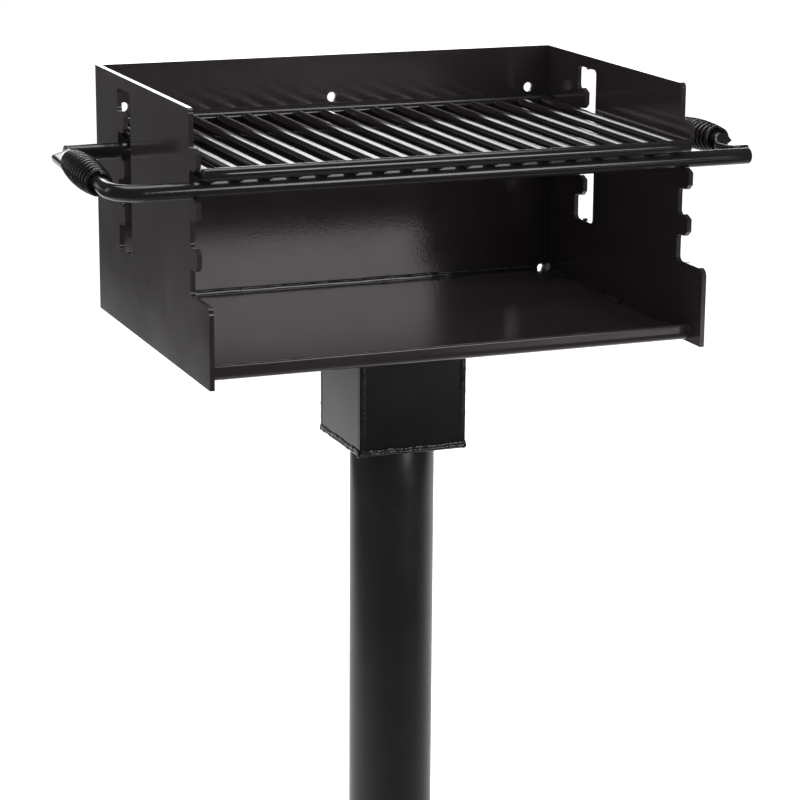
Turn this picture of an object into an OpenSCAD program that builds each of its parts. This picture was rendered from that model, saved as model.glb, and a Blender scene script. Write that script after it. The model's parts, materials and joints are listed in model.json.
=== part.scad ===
// Park barbecue grill on a post: a welded steel firebox with four grate
// levels, swivelling on a pipe that is set in the ground.
// Millimetres, +Z up, -Y is the open front, origin on the post's axis at the ground line.

/* [Firebox] */
// Width over the two side plates
firebox_w = 508; // [440:1:620]
// Thickness of the firebox plates
plate_t = 4.76; // [4:0.01:6.4]
// Height of the side and back plates
firebox_h = 252.4; // [250:0.1:300]
// Height of the side plates' lower edge above the ground
firebox_z = 700; // [560:1:900]
// Distance from the post's axis to the outside of the back plate
back_reach = 182.4; // [170:0.1:240]
// Distance from the post's axis to the low front edge of the side plates
front_reach = 188.7; // [180:0.1:240]
// Distance from the post's axis to the floor's lip
lip_reach = 167.4; // [162:0.1:178]
// Height of the floor's underside above the side plates' lower edge
floor_lift = 2.3; // [0:0.1:6]
// Outer radius of the bend between the floor and its lip
lip_bend_r = 8; // [7:0.1:10]
// Height of the lip's top above the floor's underside
lip_h = 16.2; // [12:0.1:30]
// Size of the clipped corners at the back of the floor
floor_clip = 12; // [10:0.1:20]

/* [Grate levels] */
// Number of levels that the grate can rest on
level_count = 4; // [2:1:4]
// Height of the lowest seat above the side plates' lower edge
level_low = 76.1; // [60:0.1:90]
// Height from one level to the next
level_pitch = 46.4; // [46:0.1:47.5]
// Level that the grate rests on, counted from the bottom
grate_level = 3; // [1:1:4]
// Distance from the post's axis to the wall behind the front seats
front_wall_reach = 133.4; // [130:0.1:134]
// Depth of the teeth between the seats
tooth_w = 21; // [20:0.1:22]
// Height of the opening above a seat
notch_h = 27.4; // [27:0.1:30]
// Distance from a seat's wall to the top of its lip
seat_w = 12.1; // [11:0.1:12.2]
// Height of the lip that keeps a rod in its seat
seat_lip = 2.1; // [1:0.1:2.1]
// Radius at the back of a seat
seat_r = 5.5; // [4:0.1:5.8]
// Fall of a tooth's upper edge for each millimetre in front of the lip
tooth_slope = 0.42; // [0.2:0.01:0.5]
// Width of the slanting cut under a tooth
tooth_cut_w = 6; // [3:0.1:7]
// Height of the slanting cut under a tooth
tooth_cut_h = 5; // [3:0.1:7]
// Fall of the lowest ledge in front of its lip
ledge_fall = 0.5; // [0:0.1:1]
// Radius of the low front corner of a side plate
ledge_r = 8; // [4:0.5:12]
// Radius of the top front corner of a side plate
top_r = 5; // [3:0.5:10]
// Distance from the post's axis to the back wall of the rear seats
rear_wall_reach = 103.4; // [101:0.1:110]
// Width of the upright channel in the rear slot
channel_w = 24; // [24:0.1:28]
// Distance from the side plates' lower edge to the top of the rear slot
channel_top = 240; // [238:0.1:242]
// Radius in the corners of the rear slot
channel_r = 5; // [3:0.1:8]

/* [Back plate holes] */
// Distance from the middle hole to each outer hole
accessory_pitch = 226; // [180:1:235]
// Height of the holes above the side plates' lower edge
accessory_z = 208; // [180:1:225]
// Diameter of the accessory holes
accessory_d = 10; // [6:0.1:14]
// Diameter of the drain holes at the lower corners
drain_d = 7.4; // [6:0.1:9]
// Height of the drain holes above the side plates' lower edge
drain_z = 7.9; // [7:0.1:9]
// Steel left between a drain hole and the side plate
drain_edge = 0.4; // [0.3:0.1:2]

/* [Mount block] */
// Width of the square block under the firebox
block_w = 113.8; // [110:0.1:130]
// Height from the floor's underside to the bottom of the block
block_h = 121; // [90:1:150]
// Thickness of the block's bottom plate
block_base_t = 6.35; // [5:0.01:10]
// Inset of the bottom plate's edge from the walls
block_base_inset = 1; // [0.5:0.1:2]

/* [Post] */
// Outside diameter of the post
post_d = 86; // [70:0.1:100]
// Wall of the post
post_wall = 4.8; // [3:0.1:6.5]
// Length of the post below the ground
post_bury = 610; // [300:1:900]

/* [Swivel] */
// Diameter of the spindle that the block turns on
spindle_d = 50; // [40:0.1:60]
// Running clearance of the spindle, on the radius
spindle_play = 0.05; // [0.02:0.01:0.1]
// Gap between the post's rim and the block
rim_gap = 0.3; // [0.1:0.05:0.5]
// Depth of the plug in the top of the post
plug_h = 25; // [15:1:40]
// Diameter of the disc that keeps the block on the post
keeper_d = 84; // [74:1:88]
// Thickness of that disc
keeper_t = 8; // [6:0.5:12]
// Thickness of the bearing washer under the disc
washer_t = 3; // [2:0.5:5]
// Diameter of the threaded stud on the spindle
stud_d = 24; // [16:1:30]
// Height of the nut
nut_h = 19; // [14:1:24]
// Width of the nut across its corners
nut_corners = 41.6; // [36:0.1:50]
// Length of stud that stands out of the nut
stud_proud = 4; // [2:0.5:8]
// Clearance of the disc and the nut on the stud, on the radius
stud_play = 0.1; // [0.05:0.01:0.2]

/* [Grate] */
// Diameter of the two carrying rods
rod_d = 15.88; // [15:0.01:16]
// Height of a rod's axis above its seat
rod_lift = 9.4; // [9.4:0.05:9.6]
// Gap between a rod and the wall of its seat
rod_gap = 0.15; // [0.1:0.05:0.3]
// Distance from the post's axis to the axis of each grip arm
arm_x = 328; // [324:0.5:345]
// Radius of the bend at each arm, on the rod's axis
arm_bend_r = 27; // [20:0.5:36]
// Length of the left arm from the front rod's axis to its tip
front_arm_len = 188; // [170:0.5:200]
// Length of the right arm from the rear rod's axis to its tip
rear_arm_len = 208; // [190:0.5:214]
// Rise of the left arm towards its tip, in degrees
front_arm_rise = 3.2; // [0:0.1:4]
// Rise of the right arm towards its tip, in degrees
rear_arm_rise = 1.6; // [0:0.1:4]
// Distance from the post's axis to the cut end of the front rod
front_rod_end = 322; // [300:1:345]
// Distance from the post's axis to the cut end of the rear rod
rear_rod_end = 311; // [280:1:312]
// Width of the arms' pressed tips
tip_w = 20; // [17:0.1:24]
// Thickness of the arms' pressed tips
tip_t = 7.6; // [3:0.1:12]
// Length over which an arm changes from round to flat
tip_ramp = 10; // [6:0.5:14]
// Turn of the left tip about its arm, in degrees
front_tip_turn = 18; // [0:1:30]
// Chamfer on the cut ends of the rods
rod_chamfer = 1; // [0.5:0.1:2]
// Number of cooking bars
bar_count = 18; // [8:1:18]
// Distance from one cooking bar to the next
bar_pitch = 28.3; // [20:0.1:28.5]
// Diameter of the cooking bars
bar_d = 12; // [9:0.1:14]
// Diameter of the rails across the bars' ends
rail_d = 12; // [9:0.1:13]
// Distance from the post's axis to the front rail
front_rail_reach = 156; // [150:0.5:160]
// Gap between the rear rail and the back plate
rail_back_gap = 3.6; // [2:0.1:10]
// Height of the rails' axis above the axis of the cooking bars
rail_lift = 2; // [0:0.1:3]
// Gap between a rail's end and the side plate
rail_end_gap = 1; // [0.5:0.1:4]
// Gap left in the weld between a bar and what it lies on
weld_gap = 0.05; // [0.02:0.01:0.1]
// Radius of the weld beads at the bars
bar_weld_r = 4.5; // [3:0.1:5.5]

/* [Grips] */
// Diameter of the grip's wire
wire_d = 4; // [3:0.1:4.6]
// Length of a grip
grip_len = 98; // [80:1:100]
// Inside diameter of the coil at its two ends, over the rod
grip_play = 0.6; // [0.5:0.1:1]
// Outside diameter of the coil at its middle
grip_d = 31.6; // [28:0.1:34]
// Distance from one turn of the coil to the next
turn_pitch = 7.23; // [5:0.01:9]
// Distance from the front rod's axis to the near end of the left grip
front_grip_from = 44; // [36:0.5:48]
// Distance from the rear rod's axis to the near end of the right grip
rear_grip_from = 66; // [36:0.5:68]
// Gap between a grip and the start of its arm's pressed tip
grip_tip_gap = 1; // [0.5:0.1:4]

/* [Welds] */
// Leg of the bead along the floor's back edge
floor_weld = 4; // [2:0.1:6]
// Leg of the bead round the block's bottom
base_weld = 4.5; // [3:0.1:6]
// Radius of the beads at the block's upright edges
corner_weld_r = 1.4; // [1:0.1:3]
// Leg of the bead between the block and the floor
top_weld = 3; // [2:0.1:5]
// Radius of the weld at each end of the lip
lip_weld_r = 4.5; // [2:0.1:5]
// Height of the weld at each end of the lip
lip_weld_h = 9; // [5:0.1:12]
// Length of a stitch between the floor and a side plate
stitch_len = 30; // [15:1:50]
// Number of stitches on each side
stitch_count = 3; // [2:1:4]
// Leg of the stitches
stitch_leg = 3; // [2:0.1:5]
// Leg of the upright beads between the back and the side plates
back_weld = 3; // [2:0.1:5]

/* [Hidden] */
$fn = 64;
BAR_NAMES = [for (i = [1:bar_count]) str("cooking_bar_", i)];

side_x = firebox_w / 2;
inner_x = side_x - plate_t;
back_y = back_reach;
back_inner_y = back_y - plate_t;
floor_z = firebox_z + floor_lift;
floor_top = floor_z + plate_t;
front_wall_y = -front_wall_reach;
tooth_y = front_wall_y - tooth_w;
rear_wall_y = rear_wall_reach;
channel_y = rear_wall_y - tooth_w - channel_w;
ledge_z = level_low + seat_lip - ledge_fall;
top_seat = seat_height(level_count);
top_ledge_z = top_seat + seat_lip;

base_z = floor_z - block_h;
base_top = base_z + block_base_t;
block_half = block_w / 2;
post_r = post_d / 2;
post_bore_r = post_r - post_wall;
rim_z = base_z - rim_gap;
washer_z = base_top;
keeper_z = washer_z + washer_t;
nut_z = keeper_z + keeper_t;
stud_top = nut_z + nut_h + stud_proud;

rod_r = rod_d / 2;
rod_z = firebox_z + seat_height(grate_level) + rod_lift;
front_rod_y = front_wall_y - rod_r - rod_gap;
rear_rod_y = rear_wall_y - rod_r - rod_gap;
bar_r = bar_d / 2;
bar_z = rod_z + rod_r + bar_r + weld_gap;
rail_r = rail_d / 2;
rail_z = bar_z + rail_lift;
front_rail_y = -front_rail_reach;
rear_rail_y = back_inner_y - rail_back_gap - rail_r;
bar_front_y = front_rail_y + rail_r + weld_gap;
bar_back_y = rear_rail_y - rail_r - weld_gap;

wire_r = wire_d / 2;
turn_count = floor((grip_len - wire_d) / turn_pitch);
coil_len = turn_count * turn_pitch + wire_d;
coil_end_r = rod_r + grip_play / 2 + wire_r;
coil_mid_r = grip_d / 2 - wire_r;
coil_swell = 0.8;
coil_steps = 16;
wire_sides = 8;
tip_facets = 32;
tip_step = 0.1;
bar_weld_shift = 0.75 * bar_r;
overlap = 1;

function seat_height(level) = level_low + (level - 1) * level_pitch;
function bar_x(i) = (i - (bar_count + 1) / 2) * bar_pitch;
function coil_r(t) = coil_end_r + (coil_mid_r - coil_end_r) * pow(sin(180 * t), coil_swell);

// Extrudes an outline drawn in Y and Z along X, from x by w.
module along_x(x, w) {
    translate([x, 0, 0]) rotate([90, 0, 90]) linear_extrude(w) children();
}

// A round bar along X.
module rod_along_x(r, x0, x1) {
    translate([x0, 0, 0]) rotate([0, 90, 0]) cylinder(r = r, h = x1 - x0);
}

// A round bar along Y.
module rod_along_y(r, y0, y1) {
    translate([0, y0, 0]) rotate([-90, 0, 0]) cylinder(r = r, h = y1 - y0);
}

// A rectangle whose top front corner is round.
module round_front_2d(y0, y1, z0, z1, r) {
    translate([y0 + r, z0]) square([y1 - y0 - r, z1 - z0]);
    translate([y0, z0]) square([r + overlap, z1 - z0 - r]);
    translate([y0 + r, z1 - r]) circle(r);
}

// A rectangle with four round corners.
module round_rect_2d(y0, y1, z0, z1, r) {
    translate([y0 + r, z0]) square([y1 - y0 - 2 * r, z1 - z0]);
    translate([y0, z0 + r]) square([y1 - y0, z1 - z0 - 2 * r]);
    for (y = [y0 + r, y1 - r], z = [z0 + r, z1 - r]) translate([y, z]) circle(r);
}

// The opening over one seat, measured from the foot of the seat's wall.
// A rod lies between the wall and the lip, over a rounded valley.
module seat_2d(height, slope) {
    reach = tooth_w + overlap;
    translate([-seat_r, seat_r]) circle(seat_r);
    polygon([[-seat_r, 0], [-seat_r, seat_r], [-seat_w, seat_r], [-seat_w, seat_lip]]);
    polygon([
        [-seat_w, seat_lip], [-seat_w, seat_r],
        [-reach, seat_r], [-reach, seat_lip - slope * (reach - seat_w)]
    ]);
    translate([-reach, seat_r]) square([reach, height - 2 * seat_r]);
    translate([-reach, seat_r]) square([reach - seat_r, height - seat_r]);
    translate([-seat_r, height - seat_r]) circle(seat_r);
}

// The cut under a tooth, at the open side of a seat.
module tooth_cut_2d() {
    polygon([
        [-tooth_w + tooth_cut_w, notch_h - overlap], [-tooth_w + tooth_cut_w, notch_h],
        [-tooth_w, notch_h + tooth_cut_h], [-tooth_w - overlap, notch_h + tooth_cut_h],
        [-tooth_w - overlap, notch_h - overlap]
    ]);
}

// The slope of the ledge in front of a seat: the lowest one is almost level.
function ledge_slope(level) = level == 1 ? ledge_fall / (tooth_w - seat_w) : tooth_slope;

module side_outline_2d() {
    round_front_2d(-front_reach, back_y, 0, ledge_z, ledge_r);
    translate([tooth_y, 0]) square([back_y - tooth_y, top_ledge_z]);
    round_front_2d(front_wall_y, back_y, 0, firebox_h, top_r);
}

module front_seats_2d() {
    for (level = [1:level_count]) translate([front_wall_y, seat_height(level)]) {
        seat_2d(level == level_count ? firebox_h - top_seat - top_r : notch_h, ledge_slope(level));
        if (level < level_count) tooth_cut_2d();
    }
}

module rear_slot_2d() {
    top_h = channel_top - top_seat;
    round_rect_2d(channel_y, channel_y + channel_w, ledge_z, channel_top, channel_r);
    for (level = [1:level_count]) translate([rear_wall_y, seat_height(level)]) {
        seat_2d(level == level_count ? top_h : notch_h, ledge_slope(level));
        if (level < level_count) tooth_cut_2d();
    }
}

// The side plates, cut out in one piece with their teeth and rear slot.
module side_plate(x) {
    translate([0, 0, firebox_z]) along_x(x, plate_t) difference() {
        side_outline_2d();
        front_seats_2d();
        rear_slot_2d();
    }
}

module left_side_plate() {
    color([0.05, 0.05, 0.055]) side_plate(-side_x);
}

module right_side_plate() {
    color([0.05, 0.05, 0.055]) side_plate(inner_x);
}

module hole_y(x, z, d) {
    translate([x, 0, firebox_z + z]) rod_along_y(d / 2, back_inner_y - overlap, back_y + overlap);
}

module back_plate() {
    color([0.06, 0.055, 0.06]) difference() {
        translate([-inner_x, back_inner_y, firebox_z]) cube([2 * inner_x, plate_t, firebox_h]);
        for (side = [-1:1]) hole_y(side * accessory_pitch, accessory_z, accessory_d);
        for (side = [-1, 1]) hole_y(side * (inner_x - drain_edge - drain_d / 2), drain_z, drain_d);
    }
}

// The floor's section: flat, then a bend up into the lip with a round top.
module floor_2d() {
    bend_in = lip_bend_r - plate_t;
    translate([-lip_reach + lip_bend_r, 0]) square([lip_reach - lip_bend_r + back_inner_y, plate_t]);
    translate([-lip_reach + lip_bend_r, lip_bend_r]) intersection() {
        difference() {
            circle(lip_bend_r);
            circle(bend_in);
        }
        translate([-lip_bend_r, -lip_bend_r]) square(lip_bend_r);
    }
    translate([-lip_reach, lip_bend_r]) square([plate_t, lip_h - lip_bend_r - plate_t / 2]);
    translate([-lip_reach + plate_t / 2, lip_h - plate_t / 2]) circle(plate_t / 2);
}

module floor_plate() {
    color([0.08, 0.075, 0.08]) difference() {
        translate([0, 0, floor_z]) along_x(-inner_x, 2 * inner_x) floor_2d();
        for (side = [-1, 1]) translate([side * inner_x, back_inner_y, floor_z + plate_t / 2])
            rotate([0, 0, 45]) cube([floor_clip * sqrt(2), floor_clip * sqrt(2), plate_t + overlap], center = true);
    }
}

// The post, open at both ends, set in the ground to the origin's height.
module post_pipe() {
    color([0.05, 0.05, 0.05]) difference() {
        translate([0, 0, -post_bury]) cylinder(r = post_r, h = post_bury + rim_z);
        translate([0, 0, -post_bury - overlap]) cylinder(r = post_bore_r, h = post_bury + rim_z + 2 * overlap);
    }
}

// The turned plug in the post's mouth, with the spindle and its threaded stud.
module post_head() {
    color([0.45, 0.45, 0.46]) {
        translate([0, 0, rim_z - plug_h]) cylinder(r = post_bore_r, h = plug_h);
        translate([0, 0, rim_z - overlap]) cylinder(r = spindle_d / 2, h = keeper_z - rim_z + overlap);
        translate([0, 0, keeper_z - overlap]) cylinder(r = stud_d / 2, h = stud_top - keeper_z + overlap);
    }
}

// A flat ring standing on height z.
module ring(outer_r, bore_r, z, h) {
    translate([0, 0, z]) difference() {
        cylinder(r = outer_r, h = h);
        translate([0, 0, -overlap]) cylinder(r = bore_r, h = h + 2 * overlap);
    }
}

module bearing_washer() {
    color([0.7, 0.5, 0.25]) ring(keeper_d / 2, spindle_d / 2 + spindle_play, washer_z, washer_t);
}

module retaining_disc() {
    color([0.4, 0.4, 0.42]) ring(keeper_d / 2, stud_d / 2 + stud_play, keeper_z, keeper_t);
}

module retaining_nut() {
    color([0.6, 0.6, 0.62]) translate([0, 0, nut_z]) difference() {
        cylinder(d = nut_corners, h = nut_h, $fn = 6);
        translate([0, 0, -overlap]) cylinder(r = stud_d / 2 + stud_play, h = nut_h + 2 * overlap);
    }
}

// A wall across the block's whole width, and one between those two.
module wide_wall(y) {
    translate([-block_half, y, base_top]) cube([block_w, plate_t, floor_z - base_top]);
}

module narrow_wall(x) {
    translate([x, -block_half + plate_t, base_top]) cube([plate_t, block_w - 2 * plate_t, floor_z - base_top]);
}

module mount_front_wall() {
    color([0.06, 0.06, 0.06]) wide_wall(-block_half);
}

module mount_rear_wall() {
    color([0.06, 0.06, 0.06]) wide_wall(block_half - plate_t);
}

module mount_left_wall() {
    color([0.06, 0.06, 0.06]) narrow_wall(-block_half);
}

module mount_right_wall() {
    color([0.06, 0.06, 0.06]) narrow_wall(block_half - plate_t);
}

module mount_bottom_plate() {
    half = block_half - block_base_inset;
    color([0.06, 0.06, 0.06]) difference() {
        translate([-half, -half, base_z]) cube([2 * half, 2 * half, block_base_t]);
        translate([0, 0, base_z - overlap])
            cylinder(r = spindle_d / 2 + spindle_play, h = block_base_t + 2 * overlap);
    }
}

// A quarter round bead along X in the corner of two planes, filling up and towards -Y.
module corner_bead(x0, x1, leg) {
    intersection() {
        rod_along_x(leg, x0, x1);
        translate([x0, -leg, 0]) cube([x1 - x0, leg, leg]);
    }
}

// The bead that fills the step between the block's bottom plate and its walls.
module mount_bottom_weld() {
    half = block_half - block_base_inset;
    bead_z = base_top - base_weld / 2 + overlap / 2;
    color([0.1, 0.1, 0.1]) difference() {
        for (turn = [0:90:270]) rotate([0, 0, turn])
            translate([0, -half, bead_z]) rod_along_x(base_weld / 2, -half, half);
        for (sx = [-1, 1], sy = [-1, 1]) translate([sx * half, sy * half, bead_z]) sphere(base_weld / 2);
        translate([-half, -half, base_z]) cube([2 * half, 2 * half, block_base_t]);
        translate([-block_half, -block_half, base_top]) cube([block_w, block_w, block_h]);
    }
}

// Beads along the block's upright edges, over the wall's square corners.
module mount_corner_welds() {
    bead_low = base_top + base_weld;
    color([0.1, 0.1, 0.1]) difference() {
        for (sx = [-1, 1], sy = [-1, 1])
            translate([sx * block_half, sy * block_half, bead_low])
                cylinder(r = corner_weld_r, h = floor_z - top_weld - overlap - bead_low);
        translate([-block_half, -block_half, base_z]) cube([block_w, block_w, block_h]);
    }
}

module mount_top_weld() {
    color([0.1, 0.1, 0.1]) for (turn = [0:90:270]) rotate([0, 0, turn])
        translate([0, -block_half, floor_z]) mirror([0, 0, 1])
            corner_bead(-block_half, block_half, top_weld);
}

module floor_back_weld() {
    reach = inner_x - floor_clip - overlap;
    color([0.1, 0.1, 0.1]) translate([0, back_inner_y, floor_top]) corner_bead(-reach, reach, floor_weld);
}

// Stitches between the floor and each side plate.
module floor_side_welds() {
    first = -lip_reach + lip_weld_h + stitch_len;
    last = back_inner_y - floor_clip - stitch_len;
    step = (last - first) / (stitch_count - 1);
    color([0.1, 0.1, 0.1]) for (side = [0, 1], k = [0:stitch_count - 1])
        mirror([side, 0, 0]) translate([inner_x, first + k * step, floor_top]) intersection() {
            rod_along_y(stitch_leg, -stitch_len / 2, stitch_len / 2);
            translate([-stitch_leg, -stitch_len / 2, 0]) cube([stitch_leg, stitch_len, stitch_leg]);
        }
}

// The upright weld at each end of the lip, in front of it.
module lip_end_welds() {
    r = lip_weld_r;
    color([0.1, 0.1, 0.1]) for (side = [0, 1]) mirror([side, 0, 0])
        translate([inner_x, -lip_reach, floor_z + lip_bend_r]) intersection() {
            cylinder(r = r, h = lip_weld_h);
            translate([-r, -r, 0]) cube([r, r, lip_weld_h]);
        }
}

module back_side_welds() {
    low = floor_top + floor_weld + drain_d;
    color([0.1, 0.1, 0.1]) for (side = [0, 1]) mirror([side, 0, 0])
        translate([inner_x, back_inner_y, low]) intersection() {
            cylinder(r = back_weld, h = firebox_z + firebox_h - low - overlap);
            translate([-back_weld, -back_weld, 0]) cube([back_weld, back_weld, firebox_h]);
        }
}

// A carrying rod: it runs along X from its cut end, bends back into its arm and ends in a pressed tip.
module carrying_rod(free_end, rise, arm_len, grip_from, tip_turn) {
    bend_x = -arm_x + arm_bend_r;
    tip_from = grip_from + coil_len + grip_tip_gap;
    rotate([rise, 0, 0]) {
        rod_along_x(rod_r, bend_x, free_end - rod_chamfer);
        translate([free_end - rod_chamfer, 0, 0]) rotate([0, 90, 0])
            cylinder(r1 = rod_r, r2 = rod_r - rod_chamfer, h = rod_chamfer);
        translate([bend_x, arm_bend_r, 0]) rotate([0, 0, 180])
            rotate_extrude(angle = 90) translate([arm_bend_r, 0]) circle(rod_r);
        translate([-arm_x, 0, 0]) {
            rod_along_y(rod_r, arm_bend_r, tip_from);
            rotate([0, tip_turn, 0]) pressed_tip(tip_from, arm_len);
        }
    }
}

// The end of an arm, pressed flat and wide so that the grip stays on.
module pressed_tip(from, to) {
    flat_from = from + tip_ramp;
    hull() {
        rod_along_y(rod_r - tip_step, from - overlap, from, $fn = tip_facets);
        translate([-tip_w / 2, flat_from - overlap, -rod_r]) cube([tip_w, overlap, tip_t]);
    }
    translate([-tip_w / 2, flat_from - overlap, -rod_r]) cube([tip_w, to - flat_from + overlap, tip_t]);
}

module front_rod() {
    color([0.05, 0.05, 0.05]) translate([0, front_rod_y, rod_z])
        carrying_rod(front_rod_end, front_arm_rise, front_arm_len, front_grip_from, front_tip_turn);
}

module rear_rod() {
    color([0.05, 0.05, 0.05]) translate([0, rear_rod_y, rod_z]) rotate([0, 0, 180])
        carrying_rod(rear_rod_end, rear_arm_rise, rear_arm_len, rear_grip_from, 0);
}

module end_rail(y) {
    reach = inner_x - rail_end_gap;
    translate([0, y, rail_z]) rod_along_x(rail_r, -reach, reach);
}

module front_rail() {
    color([0.07, 0.07, 0.07]) end_rail(front_rail_y);
}

module rear_rail() {
    color([0.07, 0.07, 0.07]) end_rail(rear_rail_y);
}

module cooking_bar(i) {
    color([0.07, 0.07, 0.07]) translate([bar_x(i), 0, bar_z]) rod_along_y(bar_r, bar_front_y, bar_back_y);
}

// One bead beside each bar where it lies on a rod.
module bar_welds() {
    color([0.1, 0.1, 0.1]) for (i = [1:bar_count], y = [front_rod_y, rear_rod_y]) difference() {
        translate([bar_x(i) + bar_weld_shift, y, rod_z + rod_r]) sphere(bar_weld_r);
        translate([bar_x(i), y, bar_z]) rod_along_y(bar_r + weld_gap, -2 * bar_weld_r, 2 * bar_weld_r);
        translate([bar_x(i) + bar_weld_shift, y, rod_z])
            rod_along_x(rod_r + weld_gap, -2 * bar_weld_r, 2 * bar_weld_r);
    }
}

// The points round the wire at one step of the coil.
function coil_ring(k, steps) =
    let (t = k / steps, a = 360 * k / coil_steps, r = coil_r(t), z = (t - 0.5) * turn_count * turn_pitch)
    [for (j = [0:wire_sides - 1])
        let (b = 360 * j / wire_sides, out = r + wire_r * cos(b))
        [out * cos(a), out * sin(a), z + wire_r * sin(b)]];

// A close coil of wire along Z, fuller at its middle than at its ends.
module grip_coil() {
    steps = turn_count * coil_steps;
    points = [for (k = [0:steps]) each coil_ring(k, steps)];
    walls = [for (k = [0:steps - 1], j = [0:wire_sides - 1])
        let (a = k * wire_sides + j, b = k * wire_sides + (j + 1) % wire_sides)
        [a, a + wire_sides, b + wire_sides, b]];
    first_cap = [for (j = [0:wire_sides - 1]) j];
    last_cap = [for (j = [wire_sides - 1:-1:0]) steps * wire_sides + j];
    polyhedron(points, concat(walls, [first_cap, last_cap]), convexity = 10);
}

// Puts a coil on the arm of a carrying rod.
module on_arm(rise, grip_from) {
    rotate([rise, 0, 0]) translate([-arm_x, grip_from + coil_len / 2, 0]) rotate([-90, 0, 0]) children();
}

module left_grip() {
    color([0.04, 0.04, 0.04]) translate([0, front_rod_y, rod_z])
        on_arm(front_arm_rise, front_grip_from) grip_coil();
}

module right_grip() {
    color([0.04, 0.04, 0.04]) translate([0, rear_rod_y, rod_z]) rotate([0, 0, 180])
        on_arm(rear_arm_rise, rear_grip_from) grip_coil();
}

post_pipe();
post_head();
bearing_washer();
retaining_disc();
retaining_nut();
left_side_plate();
right_side_plate();
back_plate();
floor_plate();
mount_front_wall();
mount_rear_wall();
mount_left_wall();
mount_right_wall();
mount_bottom_plate();
mount_bottom_weld();
mount_corner_welds();
mount_top_weld();
floor_back_weld();
floor_side_welds();
lip_end_welds();
back_side_welds();
front_rod();
rear_rod();
front_rail();
rear_rail();
bar_welds();
left_grip();
right_grip();
for (i = [1:bar_count]) cooking_bar(i);
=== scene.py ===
"""Dresses the park grill pedestal: bevelled black plate, round rods, coil grips and weld beads."""
from __future__ import annotations

import json
import logging
import math
from collections.abc import Iterable, Sequence
from dataclasses import dataclass
from enum import Enum

import bmesh
import bpy
from bpy.types import Material, Mesh, NodeSocket, NodeTree, Object
from mathutils import Matrix, Vector

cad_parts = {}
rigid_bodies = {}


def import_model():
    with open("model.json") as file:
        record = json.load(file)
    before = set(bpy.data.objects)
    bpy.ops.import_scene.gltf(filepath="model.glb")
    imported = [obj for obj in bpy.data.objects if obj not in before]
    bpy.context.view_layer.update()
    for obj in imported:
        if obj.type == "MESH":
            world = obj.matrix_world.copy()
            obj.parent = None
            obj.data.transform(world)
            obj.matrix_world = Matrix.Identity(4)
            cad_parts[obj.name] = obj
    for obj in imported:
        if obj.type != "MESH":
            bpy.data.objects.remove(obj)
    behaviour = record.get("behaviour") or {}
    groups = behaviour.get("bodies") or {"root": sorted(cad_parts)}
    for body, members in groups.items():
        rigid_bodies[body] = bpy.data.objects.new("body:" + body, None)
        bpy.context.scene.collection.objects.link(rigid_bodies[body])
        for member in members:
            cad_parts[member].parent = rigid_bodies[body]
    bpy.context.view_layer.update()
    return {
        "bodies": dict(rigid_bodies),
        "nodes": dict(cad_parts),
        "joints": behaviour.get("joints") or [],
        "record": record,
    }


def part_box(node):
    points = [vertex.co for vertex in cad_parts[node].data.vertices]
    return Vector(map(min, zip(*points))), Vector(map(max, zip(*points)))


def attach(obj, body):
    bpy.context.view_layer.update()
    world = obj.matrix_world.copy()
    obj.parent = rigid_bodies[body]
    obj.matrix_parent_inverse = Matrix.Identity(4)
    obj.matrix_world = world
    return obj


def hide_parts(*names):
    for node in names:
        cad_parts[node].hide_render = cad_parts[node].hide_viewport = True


Point = tuple[float, float, float]
Span = tuple[float, float]
Run = Sequence[Sequence[float]]

LOG = logging.getLogger("grill")
WHITE = (1.0, 1.0, 1.0, 1.0)
BLACK = (0.0, 0.0, 0.0, 1.0)

PAINT_INDEX = 1.5
# Points this close are one point, and faces that turn by less than this are one flat face.
MERGE_WITHIN = 1e-6
FLAT_WITHIN = math.radians(0.5)
# Edges that turn by more than this are rounded on the plates and stay sharp on the other pieces.
PLATE_CORNER = math.radians(38.0)
PIPE_CORNER = math.radians(32.0)
ROD_CORNER = math.radians(50.0)
BEAD_CORNER = math.radians(60.0)
# A short edge to start from, for a node tree that makes its own path.
STUB = ((0.0, 0.0, 0.0), (0.0, 0.0, 0.001))


class Body(Enum):
    """The rigid bodies of the frame that pieces ride on."""

    POST = "post"
    FIREBOX = "firebox"
    GRATE = "grate"
    LEFT_GRIP = "left_grip"
    RIGHT_GRIP = "right_grip"


class Slot(Enum):
    """The record's material slots, one named for each new piece as it is handed over."""

    FIREBOX = "firebox_paint"
    POST = "post_paint"
    GRATE = "grate_paint"
    WELD = "weld_paint"
    GRIP = "grip_coil"


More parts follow.
